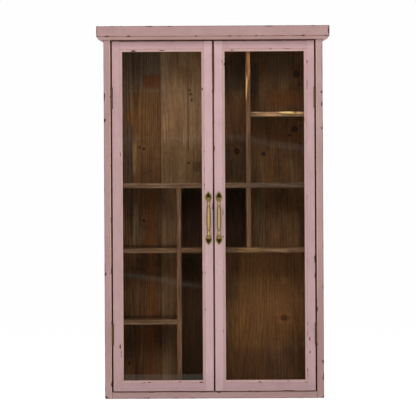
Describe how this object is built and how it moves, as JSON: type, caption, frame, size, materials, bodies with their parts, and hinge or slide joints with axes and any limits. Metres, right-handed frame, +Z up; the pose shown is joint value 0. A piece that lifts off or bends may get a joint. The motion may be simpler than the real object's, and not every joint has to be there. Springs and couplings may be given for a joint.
{
  "type": "display cabinet",
  "caption": "Tall shallow wall or table-top display cabinet with glazed hinged doors, an uneven grid of fixed shelves and a chamfered cornice.",
  "frame": {"origin": "centre of the carcass base, on the surface that the cabinet stands on; the doors' pulls and the cornice stand in front of the carcass", "axes": "+X to the right seen from the front, +Y to the back, so the doors face -Y, +Z up"},
  "size_m": [0.625, 0.174, 1],
  "materials": {
    "pink_chalk_paint": "matt pink chalk paint on pine, rubbed through at the edges",
    "stained_pine": "brown stained reclaimed pine, open grain and knots, waxed",
    "raw_beech": "plain turned beech",
    "glass": "clear float glass",
    "antique_brass": "cast brass, darkened in the hollows and rubbed bright on top",
    "dark_brass": "pressed brass with a dark brown patina",
    "zinc_steel": "dull zinc plated steel",
    "catch_plastic": "brown moulded nylon",
    "ferrite": "sintered dark grey ferrite between steel plates"
  },
  "bodies": {
    "carcass": {"back_board_1": "stained_pine", "back_board_2": "stained_pine", "back_board_3": "stained_pine", "back_board_4": "stained_pine", "back_nails": "zinc_steel", "bottom_board": "pink_chalk_paint", "carcass_dowels": "raw_beech", "catch_body": "catch_plastic", "catch_magnets": "ferrite", "catch_screws": "zinc_steel", "cornice_front": "pink_chalk_paint", "cornice_left": "pink_chalk_paint", "cornice_right": "pink_chalk_paint", "divider_left": "stained_pine", "divider_right": "stained_pine", "frame_hinge_screws": "dark_brass", "hanger_plates": "zinc_steel", "hanger_screws": "zinc_steel", "head_rail": "pink_chalk_paint", "hinge_pins": "dark_brass", "left_hinge_frame_leaves": "dark_brass", "left_side": "pink_chalk_paint", "rear_rail": "stained_pine", "right_hinge_frame_leaves": "dark_brass", "right_side": "pink_chalk_paint", "shelf_lower": "stained_pine", "shelf_upper": "stained_pine", "short_shelf_left": "stained_pine", "short_shelf_right": "stained_pine", "top_board": "pink_chalk_paint"},
    "left_door": {"left_bottom_bead": "pink_chalk_paint", "left_bottom_rail": "pink_chalk_paint", "left_door_hinge_screws": "dark_brass", "left_glass": "glass", "left_hinge_bead": "pink_chalk_paint", "left_hinge_door_leaves": "dark_brass", "left_hinge_stile": "pink_chalk_paint", "left_meeting_bead": "pink_chalk_paint", "left_meeting_stile": "pink_chalk_paint", "left_pull_bar": "antique_brass", "left_pull_plates": "antique_brass", "left_pull_screws": "antique_brass", "left_strike_plate": "zinc_steel", "left_top_bead": "pink_chalk_paint", "left_top_rail": "pink_chalk_paint"},
    "right_door": {"right_bottom_bead": "pink_chalk_paint", "right_bottom_rail": "pink_chalk_paint", "right_door_hinge_screws": "dark_brass", "right_glass": "glass", "right_hinge_bead": "pink_chalk_paint", "right_hinge_door_leaves": "dark_brass", "right_hinge_stile": "pink_chalk_paint", "right_meeting_bead": "pink_chalk_paint", "right_meeting_stile": "pink_chalk_paint", "right_pull_bar": "antique_brass", "right_pull_plates": "antique_brass", "right_pull_screws": "antique_brass", "right_strike_plate": "zinc_steel", "right_top_bead": "pink_chalk_paint", "right_top_rail": "pink_chalk_paint"}
  },
  "joints": [
    {"name": "left_door_hinge", "type": "hinge", "parent": "carcass", "child": "left_door", "pos_m": [-0.2725, -0.076, 0.4895], "axis": [0, 0, -1], "range_deg": [0, 180]},
    {"name": "right_door_hinge", "type": "hinge", "parent": "carcass", "child": "right_door", "pos_m": [0.2725, -0.076, 0.4895], "axis": [0, 0, 1], "range_deg": [0, 180]}
  ]
}
